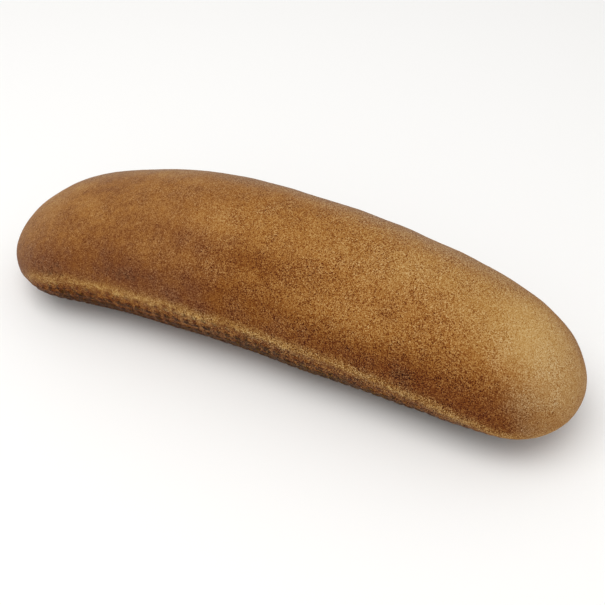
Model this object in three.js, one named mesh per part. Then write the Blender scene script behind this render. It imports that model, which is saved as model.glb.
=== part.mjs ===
// A long spelt bread roll: a soft bowed loaf baked in a perforated trough.
// Millimetres, +Z up. X runs along the roll, and the roll rests on the flat of its underside at Z = 0.
// "Left" is the end at -X and "right" the end at +X. The hollow side of the bow faces -Y.

import * as THREE from 'three';

// Driving dimensions
const LENGTH = 220; // tip to tip
const WIDTH = 63; // across the waist at the middle
const HEIGHT = 53.5; // underside to crown
const BOW = 10; // how far the spine's middle lies behind the line through the tips
const BOW_PEAK = -0.12; // where the bow is deepest, as a share of the half length
const BARREL = 0.05; // share of its width that the roll loses on the way to a tip
const TAPER = 0.08; // the left end is wider and the right end narrower by this share
const CROWN_FALL = 0.42; // share of its rise that the crown loses on the way to a tip
const PRESS = 1.3; // how much of the round underside is pressed flat

// The waist is the widest line of the side. Above it is the dome, below it the hull that lay in the trough.
const WAIST_HEIGHT = 22.5; // at the middle
const WAIST_BEND = 3; // a high power keeps the waist level until near a tip

// Each end: the height of its tip, and how bluntly it closes.
// A high power keeps the size until near the tip, a low one slopes early.
const LEFT_END = { tip: 13.5, plan: 8, crown: 2.4, heel: 7.8 };
const RIGHT_END = { tip: 15.5, plan: 8.8, crown: 5.2, heel: 3.4 };

// How square the section is above and below the waist. A power of 2 is an ellipse.
const DOME_POWER = 2;
const HULL_POWER = 2.15;

// Soft swellings and dips: place and reach along the roll as shares of the half length, height in mm
const CROWN_SWELLS = [
  { at: -0.64, reach: 0.14, height: -0.5 },
  { at: -0.27, reach: 0.18, height: 0.8 },
  { at: 0.42, reach: 0.12, height: -0.4 },
  { at: 0.85, reach: 0.15, height: 0.9 },
];
const NEAR_SIDE_SWELLS = [
  { at: -0.8, reach: 0.08, height: 1.4 },
  { at: -0.5, reach: 0.14, height: -1.1 },
  { at: 0.2, reach: 0.12, height: 0.8 },
  { at: 0.64, reach: 0.14, height: -0.8 },
  { at: 0.9, reach: 0.08, height: 0.8 },
];

// The lip: a low bead round the roll at the trough's edge, which drops towards both ends
const LIP_HEIGHT = 23.4; // at the middle
const LIP_BEAD = 0.35; // how far it stands out
const LIP_REACH = 2.6; // how far it spreads up and down
const LEFT_LIP_DROP = { depth: 20, power: 7 }; // late and steep
const RIGHT_LIP_DROP = { depth: 11, power: 2 }; // early and gentle

// Marks of the trough: low nubs where the dough sagged into holes that stand in a square grid
const HOLE_PITCH = 4.1; // between neighbouring holes
const MARK_STEP = HOLE_PITCH / 2; // nub to web, along the roll and down the side
const NUB_RELIEF = 0.3; // nub top to the web between nubs
const NUB_SHARE = 0.35; // of the wall that is open, so that the marks neither swell nor thin the roll
const MARKS_END = 0.92; // the marks fade out by here, as a share of the half length
const MARKS_FADE = 0.12; // over this share

// Mesh fineness
const DOME_STEPS = 18; // waist to waist over the crown
const BASE_STEPS = 4; // across the flat of the underside
const TIP_STEPS = 7; // from the last column of marks to a tip
const TIP_START = 0.9; // where the closer rings of a tip begin, as a share of the half length
const OUTLINE_PROBES = 400; // short steps that measure a section's outline
const PROBE_STEP = 1e-3; // for the slope of the surface, as a share of the half length and in radians

const CRUST_COLOUR = 0x9a6a32;
const CRUST_ROUGHNESS = 0.7;

const half = LENGTH / 2;

function signedPower(value, power) {
  return Math.sign(value) * Math.abs(value) ** power;
}

function endShape(along) {
  return along < 0 ? LEFT_END : RIGHT_END;
}

// Share of the full size that is left at a place along the roll: 1 at the middle, 0 at a tip
function closing(along, power) {
  return Math.sqrt(Math.max(0, 1 - Math.abs(along) ** power));
}

// Height of a row of bell-shaped swellings at a place along the roll
function swelling(swells, along) {
  return swells.reduce(
    (sum, { at, reach, height }) => sum + height * Math.exp(-(((along - at) / reach) ** 2)),
    0,
  );
}

function lipHeight(along) {
  const { depth, power } = along < 0 ? LEFT_LIP_DROP : RIGHT_LIP_DROP;
  return LIP_HEIGHT - depth * Math.abs(along) ** power;
}

function waistHeight(along) {
  return THREE.MathUtils.lerp(WAIST_HEIGHT, endShape(along).tip, Math.abs(along) ** WAIST_BEND);
}

function crownHeight(along) {
  const rise = HEIGHT - WAIST_HEIGHT + swelling(CROWN_SWELLS, along);
  return WAIST_HEIGHT + rise * (1 - CROWN_FALL * along ** 2);
}

// Spine to waist: the near side has its own swellings
function halfWidth(along, near) {
  const shape = (1 - TAPER * along) * (1 - BARREL * along ** 2);
  const full = (WIDTH / 2) * shape + (near ? swelling(NEAR_SIDE_SWELLS, along) : 0);
  return full * closing(along, endShape(along).plan);
}

// A point of the smooth form, on a section that stands square to the bowed spine.
// The angle goes round the section: 0 on the far side at the waist, a quarter turn at the crown,
// half a turn on the near side, three quarters at the underside.
function smoothPoint(along, angle) {
  const end = endShape(along);
  const upward = Math.sin(angle);
  const power = 2 / (upward > 0 ? DOME_POWER : HULL_POWER);
  const sideways = Math.cos(angle);
  const across = halfWidth(along, sideways < 0) * signedPower(sideways, power);
  const waist = waistHeight(along);
  const rise = (crownHeight(along) - waist) * closing(along, end.crown);
  const drop = (waist + PRESS) * closing(along, end.heel);
  const spine = BOW * (1 - (along - BOW_PEAK) ** 2);
  const turn = Math.atan((-2 * BOW * (along - BOW_PEAK)) / half);
  return new THREE.Vector3(
    half * along - Math.sin(turn) * across,
    spine + Math.cos(turn) * across,
    waist + (upward > 0 ? rise : drop) * signedPower(upward, power),
  );
}

// The outward direction at a point, from two short steps along the surface
function outward(along, angle) {
  const alongward = smoothPoint(along + PROBE_STEP, angle).sub(smoothPoint(along - PROBE_STEP, angle));
  const roundward = smoothPoint(along, angle + PROBE_STEP).sub(smoothPoint(along, angle - PROBE_STEP));
  return alongward.cross(roundward).normalize();
}

// How far each short step between two angles has come along the middle section's outline
function outlineRuns(from, to) {
  const runs = [0];
  for (let i = 1; i <= OUTLINE_PROBES; i += 1) {
    const here = smoothPoint(0, THREE.MathUtils.lerp(from, to, i / OUTLINE_PROBES));
    const before = smoothPoint(0, THREE.MathUtils.lerp(from, to, (i - 1) / OUTLINE_PROBES));
    runs.push(runs[i - 1] + here.distanceTo(before));
  }
  return runs;
}

// Angles at even steps of that outline
function evenAngles(from, to, count) {
  const runs = outlineRuns(from, to);
  return Array.from({ length: count }, (_, k) => {
    const wanted = (runs[OUTLINE_PROBES] * k) / count;
    const i = runs.findIndex((run) => run >= wanted);
    return THREE.MathUtils.lerp(from, to, i / OUTLINE_PROBES);
  });
}

// The angle below the waist at which the side of the middle section reaches the resting plane
function flatEdgeAngle() {
  const share = (WAIST_HEIGHT / (WAIST_HEIGHT + PRESS)) ** (HULL_POWER / 2);
  return Math.asin(share);
}

// Angles round a section, each with its row of trough marks, counted in mark steps: 0 off the sides
function sectionAngles() {
  const edge = flatEdgeAngle();
  const sideRun = outlineRuns(0, -edge)[OUTLINE_PROBES];
  const rows = 2 * Math.round(sideRun / HOLE_PITCH);
  const dome = evenAngles(0, Math.PI, DOME_STEPS).map((angle) => ({ angle, row: 0 }));
  const near = evenAngles(Math.PI, Math.PI + edge, rows).map((angle, row) => ({ angle, row }));
  const base = evenAngles(Math.PI + edge, 2 * Math.PI - edge, BASE_STEPS).map((angle) => ({ angle, row: 0 }));
  const far = evenAngles(2 * Math.PI - edge, 2 * Math.PI, rows).map((angle, k) => ({
    angle,
    row: k === 0 ? 0 : rows - k,
  }));
  return [...dome, ...near, ...base, ...far];
}

// Places along the roll, each with its column of trough marks, counted in mark steps from the middle
function stations() {
  const last = Math.floor((TIP_START * half) / MARK_STEP);
  const middle = Array.from({ length: 2 * last + 1 }, (_, k) => ({
    along: ((k - last) * MARK_STEP) / half,
    column: k - last,
  }));
  const room = 1 - middle[middle.length - 1].along;
  const tip = Array.from({ length: TIP_STEPS - 1 }, (_, k) => {
    const left = 1 - (k + 1) / TIP_STEPS;
    return { along: 1 - room * left ** 2, column: null };
  });
  const leftTip = tip.map(({ along, column }) => ({ along: -along, column })).reverse();
  return [...leftTip, ...middle, ...tip];
}

// How far the trough's marks lift or sink the side: a nub at every second step both ways, web between
function markRelief({ along, column }, row) {
  if (row === 0 || column === null) {
    return 0;
  }
  const fade = 1 - THREE.MathUtils.smoothstep(Math.abs(along), MARKS_END - MARKS_FADE, MARKS_END);
  const nub = column % 2 === 0 && row % 2 === 0 ? 1 : 0;
  return (nub - NUB_SHARE) * NUB_RELIEF * fade;
}

function surfacePoint(station, { angle, row }) {
  const { along } = station;
  const point = smoothPoint(along, angle);
  const fromLip = (point.z - lipHeight(along)) / LIP_REACH;
  const bead = LIP_BEAD * Math.exp(-(fromLip ** 2)) * closing(along, endShape(along).plan);
  const belowLip = THREE.MathUtils.smoothstep(-fromLip, 0, 1);
  point.addScaledVector(outward(along, angle), bead + markRelief(station, row) * belowLip);
  point.z = Math.max(point.z, 0);
  return point;
}

// One closed skin: rings of points along the roll, joined in strips and shut by a point at each tip
function rollGeometry() {
  const rings = stations();
  const around = sectionAngles();
  const points = rings.flatMap((station) => around.map((place) => surfacePoint(station, place)));
  const leftTip = points.push(smoothPoint(-1, 0)) - 1;
  const rightTip = points.push(smoothPoint(1, 0)) - 1;
  const triangles = [];
  const lastRing = (rings.length - 1) * around.length;
  around.forEach((_, j) => {
    const next = (j + 1) % around.length;
    triangles.push(leftTip, next, j);
    triangles.push(rightTip, lastRing + j, lastRing + next);
    for (let ring = 0; ring < lastRing; ring += around.length) {
      const following = ring + around.length;
      triangles.push(ring + j, ring + next, following + j);
      triangles.push(following + j, ring + next, following + next);
    }
  });
  const geometry = new THREE.BufferGeometry().setFromPoints(points);
  geometry.setIndex(triangles);
  geometry.computeBoundingBox();
  const middle = geometry.boundingBox.getCenter(new THREE.Vector3());
  geometry.translate(-middle.x, -middle.y, 0);
  geometry.computeVertexNormals();
  return geometry;
}

function crustMaterial() {
  return new THREE.MeshStandardMaterial({
    color: CRUST_COLOUR,
    roughness: CRUST_ROUGHNESS,
    metalness: 0,
  });
}

const roll = new THREE.Mesh(rollGeometry(), crustMaterial());
roll.name = 'roll';

const breadRoll = new THREE.Group();
breadRoll.add(roll);

export default breadRoll;
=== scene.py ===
"""A long spelt bread roll with its baked crust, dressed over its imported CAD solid.

The file is laid out as an add-on and run as a script. Lengths are in metres, in the CAD frame:
X runs along the roll, Z is up, and the roll rests at Z = 0. The hollow side of its bow faces -Y.
A place along the roll is a share of its half length, from -1 at the left tip to 1 at the right.
"""

import math
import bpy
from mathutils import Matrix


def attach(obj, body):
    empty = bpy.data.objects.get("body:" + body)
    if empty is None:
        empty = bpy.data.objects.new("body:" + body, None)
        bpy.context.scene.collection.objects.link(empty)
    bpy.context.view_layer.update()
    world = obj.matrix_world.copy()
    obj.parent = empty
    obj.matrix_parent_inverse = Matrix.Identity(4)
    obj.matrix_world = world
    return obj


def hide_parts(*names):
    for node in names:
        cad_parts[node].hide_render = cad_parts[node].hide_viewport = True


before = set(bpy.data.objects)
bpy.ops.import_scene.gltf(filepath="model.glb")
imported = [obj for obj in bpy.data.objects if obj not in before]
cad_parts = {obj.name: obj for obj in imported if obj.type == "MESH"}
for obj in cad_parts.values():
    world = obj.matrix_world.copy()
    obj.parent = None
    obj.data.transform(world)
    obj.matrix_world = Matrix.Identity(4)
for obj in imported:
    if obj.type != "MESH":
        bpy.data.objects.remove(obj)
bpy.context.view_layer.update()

from types import SimpleNamespace

import bpy
from mathutils import Matrix, Vector

bl_info = {
    "name": "Spelt Bread Roll",
    "version": (1, 0, 0),
    "blender": (4, 5, 0),
    "location": "View3D > Sidebar > Bread Roll",
    "description": "Makes a long bowed spelt roll with its baked crust, and a plain studio stage",
    "category": "Add Mesh",
}

MM = 0.001

# The grid that becomes the roll's skin
RINGS = 340  # from tip to tip
AROUND = 290  # round a section
END_START = 0.8  # where the rings begin to crowd, along the roll
END_GRID = 0.69  # the share of the grid that reaches that far
END_CROWDING = END_START / END_GRID * (1 - END_GRID) / (1 - END_START)  # keeps the spacing even there
SEAM_GAP = 0.001 * MM  # points closer than this are one point

# The form, by the same rules and sizes as the CAD solid
BOW_PEAK = -0.12  # where the bow is deepest, along the roll
BARREL = 0.05  # share of its width that the roll loses on the way to a tip
TAPER = 0.08  # the left end is wider and the right end narrower by this share
CROWN_FALL = 0.42  # share of its rise that the crown loses on the way to a tip
PRESS = 1.3 * MM  # how much of the round underside is pressed flat
WAIST_BEND = 3  # a high power keeps the waist level until near a tip
DOME_POWER = 2.0  # how square the section is above the waist: 2 is an ellipse
HULL_POWER = 2.15  # and below it
LIP_REACH = 2.6 * MM  # how far the lip's bead spreads up and down

# Each end: the height of its tip, how bluntly it closes, where a low power slopes early,
# and how far and how late the lip drops towards it
LEFT_END = {"tip": 13.5 * MM, "plan": 8.0, "crown": 2.4, "heel": 7.8, "lip_depth": 20 * MM, "lip_power": 7}
RIGHT_END = {"tip": 15.5 * MM, "plan": 8.8, "crown": 5.2, "heel": 3.4, "lip_depth": 11 * MM, "lip_power": 2}

# From here on a STEP gives the arguments of smooth_step: start, end and, unless it is 1, height.
# A BELL gives those of bell: centre, reach and, unless it is 1, height.

# Soft swellings and dips along the roll
CROWN_BELLS = (
    (-0.64, 0.14, -0.5 * MM),
    (-0.27, 0.18, 0.8 * MM),
    (0.42, 0.12, -0.4 * MM),
    (0.85, 0.15, 0.9 * MM),
)
NEAR_SIDE_BELLS = (
    (-0.8, 0.08, 1.4 * MM),
    (-0.5, 0.14, -1.1 * MM),
    (0.2, 0.12, 0.8 * MM),
    (0.64, 0.14, -0.8 * MM),
    (0.9, 0.08, 0.8 * MM),
)

# Marks of the trough: nubs where the dough sagged into its holes
NUB_SHARE = 0.35  # of the trough's wall that is open, so that the marks neither swell nor thin the roll
NUB_FLANK_STEP = (0.1, 0.7)  # from the web, at 0, to the middle of a nub, at 1
MARKS_END_STEP = (0.8, 0.92)  # where the marks fade out, towards either tip
MARKS_CLEARNESS = 0.9
MARKS_UNEVENNESS = 1.2  # how much that varies from place to place
COLUMN_WANDER = 0.25  # how far the columns of marks stray, in hole pitches

# Noises of the relief: a seed, and how much finer detail they have
MARK_NOISE = {"seed": 11.0, "detail": 1.0}
PEBBLE_NOISE = {"seed": 3.0, "detail": 1.0}
SWELL_NOISE = {"seed": 7.0, "detail": 0.0}

# Noises of the crust's colour: how wide their lumps are, a seed and how much finer detail they have
GRAINS = {"width": 0.28 * MM, "seed": 1.0, "detail": 0.0}  # pale and dark grains, close together
SPECKS = {"width": 1.6 * MM, "seed": 2.0, "detail": 1.0}
PATCHES = {"width": 7 * MM, "seed": 8.0, "detail": 1.0}
CLOUDS = {"width": 13 * MM, "seed": 18.0, "detail": 2.0}
CLOUD_SQUEEZE = (0.5, 1.0, 1.0)  # half the pattern's rate in X, which draws the clouds out along the roll

# Where things are on the crust. Heights are in millimetres above the lip.
HULL_STEP = (0, -4)  # from the lip down to the hull that lay in the trough
END_LEAN = 0.0075  # how far the pale right end leans to the left for each millimetre of height
END_WANDER = {"clouds": 0.1, "patches": 0.06}  # and how unevenly it ends

# Darkness of the crust, from baking and from painted shade at the hull's foot: 0 is the palest crust and 1
# the darkest
BAKE_STOPS = {"gold": 0.15, "tan": 0.4, "brown": 0.58, "russet": 0.76, "umber": 1.0}
BAKE_LEVEL = 0.72  # just above the lip
BAKE_AND_SHADE_HEIGHT_STEPS = (
    (7, 27, -0.28),  # the side pales towards the crown
    (-2, -13, 0.4),  # the hull darkens towards its foot: its darker baking, and painted shade next to the floor
    (-13, -20, -0.2),  # and pales again underneath
)
BAKE_END_STEP = (0.8, 1.12, -0.25)  # the right end pales
NUB_BAKE = 0.05  # nubs of the trough's marks are darker
NUB_BAKE_BELL = (-0.2, 0.3, 0.45)  # where they are darkest, along the roll
CLOUD_BAKE = 0.1
CLOUD_BAKE_STEP = (0.2, -0.3, 0.15)  # clouds are clearer on the left
PATCH_BAKE = 0.1
SPECK_BAKE = 0.1
SPECK_BAKE_STEP = (-0.1, -0.6, 0.08)  # specks too
SPECK_BAKE_HULL = 0.45  # and most of all below the lip

# Soft patches of the bake: place along the roll and height, reach along and up in the same units,
# and how much darker than its surroundings the patch is
BAKE_PATCHES = (
    (-0.85, 14, 0.3, 6, -0.2),  # pale shoulder of the left end
    (-0.5, 8, 0.12, 6, 0.1),  # dark flank near the left end
    (-0.35, -2, 0.15, 8, -0.1),  # pale stretch of the hull, where the trough's marks are clearest
    (-0.35, 16, 0.1, 3, -0.1),  # pale fleck high on the left of the side
    (-0.05, 22, 0.35, 3, 0.12),  # dark streak below the crown
    (0.05, 7, 0.1, 5, -0.1),  # pale fleck above the middle of the lip
    (0.35, 16, 0.3, 6, -0.17),  # golden side to the right of the middle
    (0.4, 29, 0.35, 3, -0.1),  # pale crest above it
    (0.55, 8, 0.1, 6, 0.1),  # dark flank near the right end
    (0.85, 12, 0.1, 8, 0.1),  # brown cheek of the right end
    (0.85, 27, 0.3, 8, -0.15),  # pale shoulder of the right end
    (1.0, 9, 0.06, 9, -0.13),  # pale tip of the right end
)

# Cream colour of the right end
CREAM_STEP = (0.88, 1.2, 0.55)

# Straw colour of the lip, a broken line, and of the ribs between the trough's marks
STRAW_LEVEL = 0.36
STRAW_BELL = (-0.35, 0.3, 0.12)  # the line is clearest left of the middle
STRAW_FADE_STEP = (-0.8, -0.93, -0.34)  # and nearly gone round the left end
LINE_BELL = (0.2, 2.0)  # height and half breadth of the line
LINE_SAG_BELL = (-0.5, 0.15, 0.8)  # where it hangs lower, along the roll
LINE_WANDER = {"patches": 1.6, "specks": 1.5}  # how far it strays up and down, in millimetres
LINE_FLECKS = {"patches": 0.6, "specks": 1.6, "grains": -1.5}  # what breaks it up
RIB_HEIGHT_BELL = (-4, 3.5)
RIB_PLACE_BELL = (-0.25, 0.3, 0.16)

# Ash colour: painted sheen, the greyish rim along the far side of the crown, and a dull bloom elsewhere
SHEEN_FAR_BELL = (0.52, 0.26, 0.38)  # painted sheen over the far side, from 0 at the crest to 1 at the waist
SHEEN_LEFT_END_STEP = (-0.7, -0.95)  # the far side's painted sheen ends here
SHEEN_RIGHT_END_STEP = (0.7, 1.05)  # and here
BLOOM_LEFT_STEPS = ((0, -0.3, 0.08), (-0.65, -0.95, 0.12))  # fainter bloom of the left half, above the lip
BLOOM_PATCHES = 0.06  # a trace of it in patches all over

# How clearly the grains show
GRAIN_LEVEL = 0.55  # at the left
GRAIN_STEP = (-0.6, 0.35, 0.45)  # clearer towards the right
GRAIN_CALM_STEP = (0.7, 1.1, -0.35)  # but calmer on the pale right end
GRAIN_PATCHES = 0.5  # uneven from patch to patch
GRAIN_HULL = 0.6  # clearer below the lip
GRAIN_DEPTH = 1.12  # over the whole roll
DARK_TAIL = 0.5  # dark grains stand out more than pale ones
PORES = 2.0  # and the darkest most of all
GRAIN_BUMP = {"Strength": 0.5, "Distance": 0.12 * MM}

# How the crust takes the light
CRUST_ROUGHNESS = 0.62
GRAIN_ROUGHNESS = 0.06  # dark grains are duller
CRUST_IOR = 1.45
CRUST_SPECULAR = 0.1

# The stage
FLOOR_REACH = 4.0  # from the middle to an edge
PAPER_ROUGHNESS = 0.9
SOFTBOX_SIZE = (0.9, 0.6)
SOFTBOX_PLACE = Vector((-0.1, -0.25, 0.8))

# The photograph's camera
IMAGE_PIXELS = 605
FOCAL_PIXELS = 1000
SENSOR = 36.0  # millimetres, as Blender's cameras have it
NEAR_CLIP = 0.01
CAMERA_HEADING = math.radians(24.8)  # round from -Y towards +X
CAMERA_PITCH = math.radians(41.9)  # above the horizon
CAMERA_DISTANCE = 363 * MM
CAMERA_AIM = Vector((7, 0, 14.5)) * MM


def linear(hex_colour):
    """The linear colour of an sRGB hex value such as "a0703c"."""
    shares = [int(hex_colour[i:i + 2], 16) / 255 for i in (0, 2, 4)]
    return tuple(s / 12.92 if s <= 0.04045 else ((s + 0.055) / 1.055) ** 2.4 for s in shares)


def length_property(name, description, millimetres):
    """A length that a user may change, given in millimetres and kept in metres."""
    return bpy.props.FloatProperty(
        name=name,
        description=description,
        default=millimetres * MM,
        min=0.0,
        precision=5,
        subtype="DISTANCE",
        unit="LENGTH",
    )


def colour_property(name, description, hex_colour):
    """A colour that a user may change."""
    return bpy.props.FloatVectorProperty(
        name=name, description=description, default=linear(hex_colour), min=0.0, max=1.0, subtype="COLOR"
    )


class RollSizes(bpy.types.PropertyGroup):
    """Sizes of the roll and of the relief on its crust."""

    length: length_property("Length", "Tip to tip", 220)
    width: length_property("Width", "Across the waist at the middle", 63)
    height: length_property("Height", "Underside to crown", 53.5)
    bow: length_property("Bow", "How far the spine's middle lies behind the line through the tips", 10)
    waist: length_property("Waist", "Height of the widest line of the side", 22.5)
    lip: length_property("Lip", "Height of the pale line left at the trough's edge", 23.4)
    bead: length_property("Bead", "How far the lip stands out", 0.35)
    hole_pitch: length_property("Hole pitch", "Between the trough's holes, in a square grid", 4.1)
    nub: length_property("Nub", "How far the nubs left by the holes stand out", 0.3)
    pebble: length_property("Pebble size", "Width of the small bumps of the crust", 2.4)
    pebble_relief: length_property("Pebble relief", "How far the small bumps stand out", 0.07)
    swell: length_property("Swell size", "Width of the broad unevenness of the crust", 12)
    swell_relief: length_property("Swell relief", "How far the broad unevenness stands out", 0.35)


class CrustColours(bpy.types.PropertyGroup):
    """Colours of the crust from the palest to the darkest bake."""

    cream: colour_property("Cream", "The right end, which browned least", "d0b078")
    gold: colour_property("Gold", "The palest of the bake", "b0864a")
    tan: colour_property("Tan", "The upper side", "96632a")
    brown: colour_property("Brown", "The well baked side", "7d4917")
    russet: colour_property("Russet", "Above the lip, where the side is darkest", "68340c")
    straw: colour_property("Straw", "Dry grains along the lip", "c4964e")
    # Ash also stands for a painted sheen: the greyish rim along the far side of the crown
    ash_and_sheen: colour_property("Ash", "Dull bloom on the far side", "927a60")
    # Umber is also the colour of the painted shade at the hull's foot, next to the floor
    umber: colour_property("Umber", "The hull's foot, and the nubs of the trough's marks", "3c1c00")


class StageSettings(bpy.types.PropertyGroup):
    """The plain studio around the roll."""

    floor: colour_property("Floor", "Pale paper sweep", "f6f5f3")
    fill: bpy.props.FloatProperty(
        name="Fill", description="Strength of the even light", default=0.72, min=0.0
    )
    key: bpy.props.FloatProperty(
        name="Key", description="Power of the softbox overhead", default=3.8, min=0.0, unit="POWER"
    )


def add_node(tree, kind, inputs=None, **settings):
    """Adds a node. Settings are its properties. Inputs give its sockets a plain value, a Field, a socket,
    or a node that stands for its first output."""
    node = tree.nodes.new(kind)
    for name, value in settings.items():
        setattr(node, name, value)
    for key, value in (inputs or {}).items():
        if isinstance(value, Field):
            value = value.socket
        elif isinstance(value, bpy.types.Node):
            value = value.outputs[0]
        if isinstance(value, bpy.types.NodeSocket):
            tree.links.new(value, node.inputs[key])
        else:
            node.inputs[key].default_value = value
    return node


class Field:
    """A node's output that stands in a formula like a number."""

    def __init__(self, socket):
        self.socket = socket

    def to(self, operation, *others):
        """The result of a Math operation on this Field and on other Fields or numbers."""
        return Field.of(self.socket.id_data, operation, self, *others)

    @staticmethod
    def of(tree, operation, *terms):
        """The result of a Math operation on Fields and numbers."""
        node = add_node(tree, "ShaderNodeMath", dict(enumerate(terms)), operation=operation)
        return Field(node.outputs[0])

    def __add__(self, other):
        return self.to("ADD", other)

    def __sub__(self, other):
        return self.to("SUBTRACT", other)

    def __mul__(self, other):
        return self.to("MULTIPLY", other)

    def __truediv__(self, other):
        return self.to("DIVIDE", other)

    def __pow__(self, other):
        return self.to("POWER", other)

    def __rsub__(self, other):
        return Field.of(self.socket.id_data, "SUBTRACT", other, self)

    def __rtruediv__(self, other):
        return Field.of(self.socket.id_data, "DIVIDE", other, self)

    def __neg__(self):
        return self * -1

    def __abs__(self):
        return self.to("ABSOLUTE")

    def __lt__(self, other):
        return self.to("LESS_THAN", other)

    def __gt__(self, other):
        return self.to("GREATER_THAN", other)

    __radd__ = __add__
    __rmul__ = __mul__


def choose(first, yes, no):
    """yes where the Field first is 1, and no where it is 0."""
    return (yes - no) * first + no


def bell(value, centre, reach, height=1.0):
    """The height at the centre, falling off smoothly to nothing over about twice the reach."""
    return (-((value - centre) / reach) ** 2).to("EXPONENT") * height


def smooth_step(value, start, end, height=1.0):
    """Nothing before the start, the height after the end, and smooth between them, upwards or downwards."""
    inputs = {"Value": value, "From Min": start, "From Max": end, "To Max": height}
    node = add_node(value.socket.id_data, "ShaderNodeMapRange", inputs, interpolation_type="SMOOTHSTEP")
    return Field(node.outputs["Result"])


def signed_power(value, power):
    """A power of the value's size, with the value's sign."""
    return value.to("SIGN") * abs(value) ** power


def crust_noise(tree, point, width, seed, detail):
    """Noise within -1 and 1, with lumps about that wide."""
    inputs = {"Vector": point, "W": seed, "Scale": 1 / width, "Detail": detail}
    node = add_node(tree, "ShaderNodeTexNoise", inputs, noise_dimensions="4D")
    return Field(node.outputs[0]) * 2 - 1


def closing(along, power):
    """Share of the full size that is left at a place along the roll: 1 at the middle, 0 at a tip."""
    return (1 - abs(along) ** power).to("MAXIMUM", 0.0).to("SQRT")


def end_value(along, name):
    """A value of the left end on the left half and of the right end on the right half."""
    return choose(along < 0.0, LEFT_END[name], RIGHT_END[name])


def place_along(grid_x):
    """Place along the roll, with the grid's rings crowded over the ends."""
    reach = abs(grid_x)
    straight = reach * (END_START / END_GRID)
    crowded = 1 - ((1 - reach) / (1 - END_GRID)) ** END_CROWDING * (1 - END_START)
    return grid_x.to("SIGN") * choose(reach < END_GRID, straight, crowded)


def roll_point(along, turn, size):
    """X, Y and Z on the smooth form. The turn goes round a section: 0 on the far side at the waist,
    a quarter turn at the crown, half a turn on the near side, three quarters at the underside."""
    upward = turn.to("SINE")
    sideways = turn.to("COSINE")
    above = upward > 0.0
    power = choose(above, 2 / DOME_POWER, 2 / HULL_POWER)
    shape = (1 - along * TAPER) * (1 - along ** 2 * BARREL)
    near_side = (sideways < 0.0) * sum(bell(along, *swell) for swell in NEAR_SIDE_BELLS)
    half_width = (size.width / 2 * shape + near_side) * closing(along, end_value(along, "plan"))
    across = half_width * signed_power(sideways, power)
    waist = size.waist + (end_value(along, "tip") - size.waist) * abs(along) ** WAIST_BEND
    full_rise = size.height - size.waist + sum(bell(along, *swell) for swell in CROWN_BELLS)
    crown = size.waist + full_rise * (1 - along ** 2 * CROWN_FALL)
    rise = (crown - waist) * closing(along, end_value(along, "crown"))
    drop = (waist + PRESS) * closing(along, end_value(along, "heel"))
    from_peak = along - BOW_PEAK
    spine = size.bow * (1 - from_peak ** 2)
    heading = (size.bow * from_peak * -4 / size.length).to("ARCTANGENT")
    x = size.length / 2 * along - heading.to("SINE") * across
    y = spine + heading.to("COSINE") * across
    z = waist + choose(above, rise, drop) * signed_power(upward, power)
    return x, y, z


def mark_row(turn, size):
    """Rows of trough marks below the waist, counted about evenly along the middle section's outline."""
    below_waist = math.pi / 2 - abs(turn - math.pi * 1.5)
    deep = size.waist + PRESS
    wide = size.width / 2
    run = below_waist * (wide + deep) / 2 - (below_waist * 2).to("SINE") * (wide - deep) / 4
    return run / size.hole_pitch


def size_inputs(tree):
    """Gives the tree an input for each size of the roll. Returns them as Fields, and their identifiers."""
    identifiers = {}
    for name in RollSizes.__annotations__:
        label = RollSizes.bl_rna.properties[name].name
        socket = tree.interface.new_socket(label, in_out="INPUT", socket_type="NodeSocketFloat")
        socket.subtype = "DISTANCE"
        identifiers[name] = socket.identifier
    given = add_node(tree, "NodeGroupInput")
    size = {name: Field(socket) for name, socket in zip(identifiers, given.outputs)}
    return SimpleNamespace(**size), identifiers


def keep(tree, skin, here, **values):
    """Stores values on the skin's points. From then on they are read as members of here."""
    for name, value in values.items():
        stored = {"Geometry": skin, "Name": name, "Value": value}
        skin = add_node(tree, "GeometryNodeStoreNamedAttribute", stored, data_type="FLOAT", domain="POINT")
        reading = add_node(tree, "GeometryNodeInputNamedAttribute", {"Name": name}, data_type="FLOAT")
        setattr(here, name, Field(reading.outputs[0]))
    return skin


def smooth_skin(tree, here, size):
    """The smooth form: a grid wrapped round the roll and closed along its seam and at its tips."""
    grid = {"Size X": 2.0, "Size Y": 1.0, "Vertices X": RINGS, "Vertices Y": AROUND + 1}
    skin = add_node(tree, "GeometryNodeMeshGrid", grid)
    skin = add_node(tree, "GeometryNodeFlipFaces", {"Mesh": skin})
    along = place_along(here.x)
    turn = (here.y + 0.5) * math.tau
    form = add_node(tree, "ShaderNodeCombineXYZ", dict(enumerate(roll_point(along, turn, size))))
    skin = keep(tree, skin, here, row=mark_row(turn, size), far=turn.to("COSINE"), along=along)
    skin = add_node(tree, "GeometryNodeSetPosition", {"Geometry": skin, "Position": form})
    skin = add_node(tree, "GeometryNodeMergeByDistance", {"Geometry": skin, "Distance": SEAM_GAP})
    drop = end_value(here.along, "lip_depth") * abs(here.along) ** end_value(here.along, "lip_power")
    return keep(tree, skin, here, above_lip=here.z - (size.lip - drop))


def trough_marks(tree, skin, here, size):
    """Stores the trough's marks: nubs where dough sagged into its holes, and ribs between their columns."""
    uneven = crust_noise(tree, here.point, size.swell, **MARK_NOISE)
    inside = 1 - smooth_step(abs(here.along), *MARKS_END_STEP)
    clear = inside * (uneven * MARKS_UNEVENNESS + MARKS_CLEARNESS)
    column = here.along * size.length / 2 / size.hole_pitch + uneven * COLUMN_WANDER
    column_wave = (column * math.tau).to("COSINE")
    row_wave = (here.row * math.tau).to("COSINE")
    lattice = (column_wave + 1) * (row_wave + 1) / 4
    nub = (smooth_step(lattice, *NUB_FLANK_STEP) - NUB_SHARE) * smooth_step(here.above_lip, 0.0, -LIP_REACH)
    return keep(tree, skin, here, nub=nub * clear, rib=-column_wave * clear)


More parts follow.
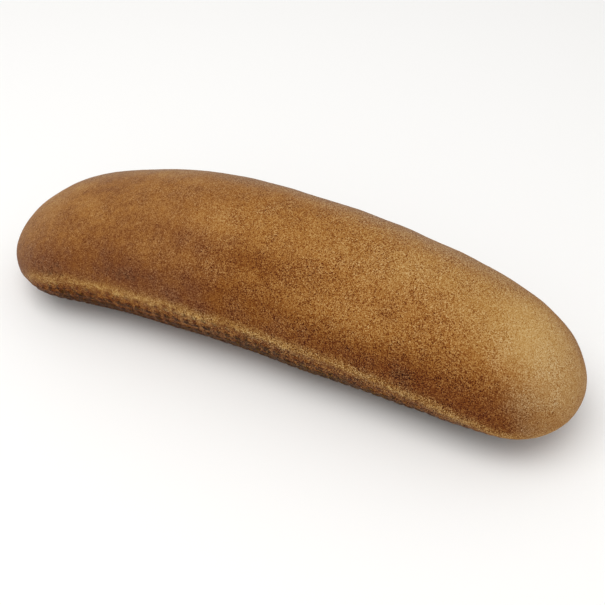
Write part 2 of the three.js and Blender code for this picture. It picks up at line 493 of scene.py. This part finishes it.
def raise_relief(tree, skin, here, size):
    """Raises the lip's bead, the trough's nubs and the unevenness of the crust."""
    fullness = closing(here.along, end_value(here.along, "plan"))
    bead = bell(here.above_lip, 0.0, LIP_REACH) * fullness * size.bead
    pebbles = crust_noise(tree, here.point, size.pebble, **PEBBLE_NOISE) * size.pebble_relief
    swells = crust_noise(tree, here.point, size.swell, **SWELL_NOISE) * size.swell_relief
    relief = bead + here.nub * size.nub + pebbles + swells
    normal = add_node(tree, "GeometryNodeInputNormal")
    offset = add_node(tree, "ShaderNodeVectorMath", {"Vector": normal, "Scale": relief}, operation="SCALE")
    return add_node(tree, "GeometryNodeSetPosition", {"Geometry": skin, "Offset": offset})


def set_at_rest(tree, skin, here):
    """Centres the skin in plan and presses it flat where it meets the resting plane."""
    box = add_node(tree, "GeometryNodeBoundBox", {"Geometry": skin})
    corners = {0: box.outputs["Min"], 1: box.outputs["Max"]}
    corner_sum = add_node(tree, "ShaderNodeVectorMath", corners, operation="ADD")
    sums = [Field(socket) for socket in add_node(tree, "ShaderNodeSeparateXYZ", {0: corner_sum}).outputs]
    centred = {"X": here.x - sums[0] / 2, "Y": here.y - sums[1] / 2, "Z": here.z.to("MAXIMUM", 0.0)}
    resting = add_node(tree, "ShaderNodeCombineXYZ", centred)
    return add_node(tree, "GeometryNodeSetPosition", {"Geometry": skin, "Position": resting})


def roll_tree(material):
    """Geometry Nodes that make the whole roll from its sizes, and the identifier of each size's input."""
    tree = bpy.data.node_groups.new("Bread roll form", "GeometryNodeTree")
    tree.interface.new_socket("Geometry", in_out="OUTPUT", socket_type="NodeSocketGeometry")
    size, identifiers = size_inputs(tree)
    point = add_node(tree, "GeometryNodeInputPosition")
    x, y, z = (Field(socket) for socket in add_node(tree, "ShaderNodeSeparateXYZ", {0: point}).outputs)
    here = SimpleNamespace(point=point, x=x, y=y, z=z)
    skin = smooth_skin(tree, here, size)
    skin = trough_marks(tree, skin, here, size)
    skin = raise_relief(tree, skin, here, size)
    skin = set_at_rest(tree, skin, here)
    skin = add_node(tree, "GeometryNodeSetShadeSmooth", {"Geometry": skin})
    skin = add_node(tree, "GeometryNodeRealizeInstances", {"Geometry": skin})
    skin = add_node(tree, "GeometryNodeSetMaterial", {"Geometry": skin, "Material": material})
    add_node(tree, "NodeGroupOutput", {0: skin})
    return tree, identifiers


def mixture(here, weights):
    """Sum of the named noises, each by its weight."""
    return sum(getattr(here, name) * weight for name, weight in weights.items())


def crust_fields(tree):
    """What the crust's looks depend on at a point: where it is on the roll, and noises of four widths."""
    here = SimpleNamespace()
    for name in ("along", "above_lip", "nub", "rib", "far"):
        node = add_node(tree, "ShaderNodeAttribute", attribute_name=name)
        setattr(here, name, Field(node.outputs["Fac"]))
    here.above_lip = here.above_lip / MM
    point = add_node(tree, "ShaderNodeTexCoord").outputs["Object"]
    drawn_out = add_node(tree, "ShaderNodeMapping", {"Vector": point, "Scale": CLOUD_SQUEEZE})
    here.grains = crust_noise(tree, point, **GRAINS) * (smooth_step(here.along, *GRAIN_STEP) + GRAIN_LEVEL)
    here.specks = crust_noise(tree, point, **SPECKS)
    here.patches = crust_noise(tree, point, **PATCHES)
    here.clouds = crust_noise(tree, drawn_out, **CLOUDS)
    here.hull = smooth_step(here.above_lip, *HULL_STEP)
    here.to_right = here.along + here.above_lip * END_LEAN + mixture(here, END_WANDER)
    return here


def bake_and_shade(here):
    """How dark the crust is: its baking, with painted shade towards the hull's foot."""
    by_height = sum(smooth_step(here.above_lip, *step) for step in BAKE_AND_SHADE_HEIGHT_STEPS)
    by_patch = sum(
        bell(here.along, at, reach) * bell(here.above_lip, height, spread, strength)
        for at, height, reach, spread, strength in BAKE_PATCHES
    )
    right_end = smooth_step(here.to_right, *BAKE_END_STEP)
    nubs = here.nub * (bell(here.along, *NUB_BAKE_BELL) + NUB_BAKE)
    clouds = here.clouds * (smooth_step(here.along, *CLOUD_BAKE_STEP) + CLOUD_BAKE)
    speckled = smooth_step(here.along, *SPECK_BAKE_STEP) + here.hull * SPECK_BAKE_HULL + SPECK_BAKE
    uneven = clouds + here.patches * PATCH_BAKE + here.specks * speckled
    return by_height + by_patch + right_end + nubs + uneven + BAKE_LEVEL


def straw_share(here):
    """How much of the straw colour shows: in the lip's broken line, and on ribs just below it."""
    strength = bell(here.along, *STRAW_BELL) + smooth_step(here.along, *STRAW_FADE_STEP) + STRAW_LEVEL
    from_line = here.above_lip + bell(here.along, *LINE_SAG_BELL) + mixture(here, LINE_WANDER)
    line = bell(from_line, *LINE_BELL) * strength * (mixture(here, LINE_FLECKS) + 1)
    ribs = here.rib * bell(here.above_lip, *RIB_HEIGHT_BELL) * bell(here.along, *RIB_PLACE_BELL)
    return (line + ribs).to("MAXIMUM", 0.0)


def ash_and_sheen_share(here):
    """How much of the ash colour shows: as painted sheen over the far side of the crown, and as a faint
    dull bloom on the left half and in patches.
    """
    ends = smooth_step(here.along, *SHEEN_LEFT_END_STEP) + smooth_step(here.to_right, *SHEEN_RIGHT_END_STEP)
    far_sheen = bell(here.far, *SHEEN_FAR_BELL) * (1 - ends)
    left = sum(smooth_step(here.along, *step) for step in BLOOM_LEFT_STEPS)
    return (far_sheen + left) * (1 - here.hull) + here.patches * BLOOM_PATCHES


def grain_depth(here):
    """The power that a grain raises the colour to: above 1 in a dark grain, below 1 in a pale one."""
    calm = smooth_step(here.to_right, *GRAIN_CALM_STEP)
    grains = here.grains * (here.patches * GRAIN_PATCHES + here.hull * GRAIN_HULL + calm + 1)
    pores = grains.to("MAXIMUM", 0.0) ** 3 * PORES
    return (grains + grains ** 2 * DARK_TAIL + pores) * GRAIN_DEPTH + 1


def crust_material(colours):
    """Baked spelt crust: thin, dry and dull, with a faint sheen. Pale and dark grains sit close together,
    so near by it looks speckled and from afar golden brown, in soft clouds where the oven reached more
    or less."""
    material = bpy.data.materials.new("Baked spelt crust")
    material.use_nodes = True
    tree = material.node_tree
    tree.nodes.clear()
    here = crust_fields(tree)

    ramp = add_node(tree, "ShaderNodeValToRGB", {0: bake_and_shade(here)})
    stops = ramp.color_ramp.elements
    while len(stops) < len(BAKE_STOPS):
        stops.new(1.0)
    for stop, (name, level) in zip(stops, BAKE_STOPS.items()):
        stop.position = level
        stop.color = (*getattr(colours, name), 1.0)

    colour = ramp.outputs[0]
    layers = (
        (smooth_step(here.to_right, *CREAM_STEP), colours.cream),
        (straw_share(here), colours.straw),
        # the ash layer: a dull bloom, and painted sheen on the far side of the crown
        (ash_and_sheen_share(here), colours.ash_and_sheen),
    )
    for share, over in layers:
        # A Mix node's colour sockets share their names with its number sockets, so they go by index
        mix = add_node(tree, "ShaderNodeMix", {0: share, 6: colour, 7: (*over, 1.0)}, data_type="RGBA")
        colour = mix.outputs[2]
    colour = add_node(tree, "ShaderNodeGamma", {"Color": colour, "Gamma": grain_depth(here)})

    bump = add_node(tree, "ShaderNodeBump", {"Height": here.grains, **GRAIN_BUMP}, invert=True)
    surface = {
        "Base Color": colour,
        "Roughness": here.grains * GRAIN_ROUGHNESS + CRUST_ROUGHNESS,
        "Normal": bump,
        "IOR": CRUST_IOR,
        "Specular IOR Level": CRUST_SPECULAR,
    }
    shader = add_node(tree, "ShaderNodeBsdfPrincipled", surface)
    add_node(tree, "ShaderNodeOutputMaterial", {"Surface": shader})
    return material


def paper_material(colour):
    """Matt paper sweep: pale and even, without any shine."""
    material = bpy.data.materials.new("Matt paper sweep")
    material.use_nodes = True
    shader = material.node_tree.nodes["Principled BSDF"]
    shader.inputs["Base Color"].default_value = (*colour, 1.0)
    shader.inputs["Roughness"].default_value = PAPER_ROUGHNESS
    return material


def add_floor(scene, colour):
    """A wide flat sheet of paper under the roll."""
    turns = ((-1, -1), (1, -1), (1, 1), (-1, 1))
    corners = [(x * FLOOR_REACH, y * FLOOR_REACH, 0) for x, y in turns]
    sheet = bpy.data.meshes.new("floor")
    sheet.from_pydata(corners, [], [(0, 1, 2, 3)])
    sheet.materials.append(paper_material(colour))
    floor = bpy.data.objects.new("floor", sheet)
    scene.collection.objects.link(floor)


def add_light(scene, fill, key):
    """Even light from all round, and a softbox overhead."""
    world = bpy.data.worlds.new("Even fill")
    world.use_nodes = True
    background = world.node_tree.nodes["Background"]
    background.inputs["Color"].default_value = (1.0, 1.0, 1.0, 1.0)
    background.inputs["Strength"].default_value = fill
    scene.world = world

    softbox = bpy.data.lights.new("softbox", "AREA")
    softbox.shape = "RECTANGLE"
    softbox.size, softbox.size_y = SOFTBOX_SIZE
    softbox.energy = key
    lamp = bpy.data.objects.new("softbox", softbox)
    lamp.location = SOFTBOX_PLACE
    lamp.rotation_euler = (-SOFTBOX_PLACE).to_track_quat("-Z", "Y").to_euler()
    scene.collection.objects.link(lamp)


def add_camera(scene):
    """The camera at the photograph's viewing angle."""
    lens = bpy.data.cameras.new("camera")
    lens.sensor_width = SENSOR
    lens.lens = SENSOR * FOCAL_PIXELS / IMAGE_PIXELS
    lens.clip_start = NEAR_CLIP
    camera = bpy.data.objects.new("camera", lens)
    level = math.cos(CAMERA_PITCH)
    right = Vector((math.cos(CAMERA_HEADING), math.sin(CAMERA_HEADING), 0))
    back = Vector((right.y * level, -right.x * level, math.sin(CAMERA_PITCH)))
    axes = Matrix((right, back.cross(right), back)).transposed()
    camera.matrix_world = Matrix.Translation(CAMERA_AIM + back * CAMERA_DISTANCE) @ axes.to_4x4()
    scene.collection.objects.link(camera)
    scene.camera = camera


class BREADROLL_OT_make_roll(bpy.types.Operator):
    """Make the roll with its crust, in place of the plain solid"""

    bl_idname = "breadroll.make_roll"
    bl_label = "Make Roll"

    def execute(self, context):
        sizes = context.scene.bread_roll_sizes
        material = crust_material(context.scene.bread_roll_colours)
        tree, identifiers = roll_tree(material)
        roll = bpy.data.objects.new("roll_crust", bpy.data.meshes.new("roll_seed"))
        context.scene.collection.objects.link(roll)
        modifier = roll.modifiers.new("Form", "NODES")
        modifier.node_group = tree
        for name, identifier in identifiers.items():
            modifier[identifier] = getattr(sizes, name)
        depsgraph = context.evaluated_depsgraph_get()
        skin = bpy.data.meshes.new_from_object(
            roll.evaluated_get(depsgraph), preserve_all_data_layers=True, depsgraph=depsgraph
        )
        if not skin.polygons:
            raise RuntimeError("the roll's nodes made no faces")
        skin.name = "roll_crust"
        skin.materials.pop(index=0)  # the empty slot that the grid came with
        roll.modifiers.clear()
        roll.data = skin
        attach(roll, "root")
        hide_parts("roll")
        return {"FINISHED"}


class BREADROLL_OT_make_stage(bpy.types.Operator):
    """Set up the pale floor, the soft light and the camera"""

    bl_idname = "breadroll.make_stage"
    bl_label = "Make Stage"

    def execute(self, context):
        scene = context.scene
        settings = scene.bread_roll_stage
        scene.view_settings.view_transform = "Standard"
        add_floor(scene, settings.floor)
        add_light(scene, settings.fill, settings.key)
        add_camera(scene)
        return {"FINISHED"}


class BREADROLL_PT_sidebar(bpy.types.Panel):
    """Sizes, colours and buttons of the bread roll"""

    bl_label = "Bread Roll"
    bl_idname = "BREADROLL_PT_sidebar"
    bl_space_type = "VIEW_3D"
    bl_region_type = "UI"
    bl_category = "Bread Roll"

    def draw(self, context):
        for group in SETTINGS:
            column = self.layout.column(align=True)
            settings = getattr(context.scene, group)
            for name in settings.__annotations__:
                column.prop(settings, name)
        for operator in OPERATORS:
            self.layout.operator(operator.bl_idname)


SETTINGS = {
    "bread_roll_sizes": RollSizes,
    "bread_roll_colours": CrustColours,
    "bread_roll_stage": StageSettings,
}
OPERATORS = (BREADROLL_OT_make_roll, BREADROLL_OT_make_stage)
CLASSES = (*SETTINGS.values(), *OPERATORS, BREADROLL_PT_sidebar)


def register():
    for cls in CLASSES:
        bpy.utils.register_class(cls)
    for name, group in SETTINGS.items():
        setattr(bpy.types.Scene, name, bpy.props.PointerProperty(type=group))


def unregister():
    for name in SETTINGS:
        delattr(bpy.types.Scene, name)
    for cls in reversed(CLASSES):
        bpy.utils.unregister_class(cls)


def main():
    register()
    bpy.ops.breadroll.make_roll()
    bpy.ops.breadroll.make_stage()


if __name__ == "__main__":
    main()
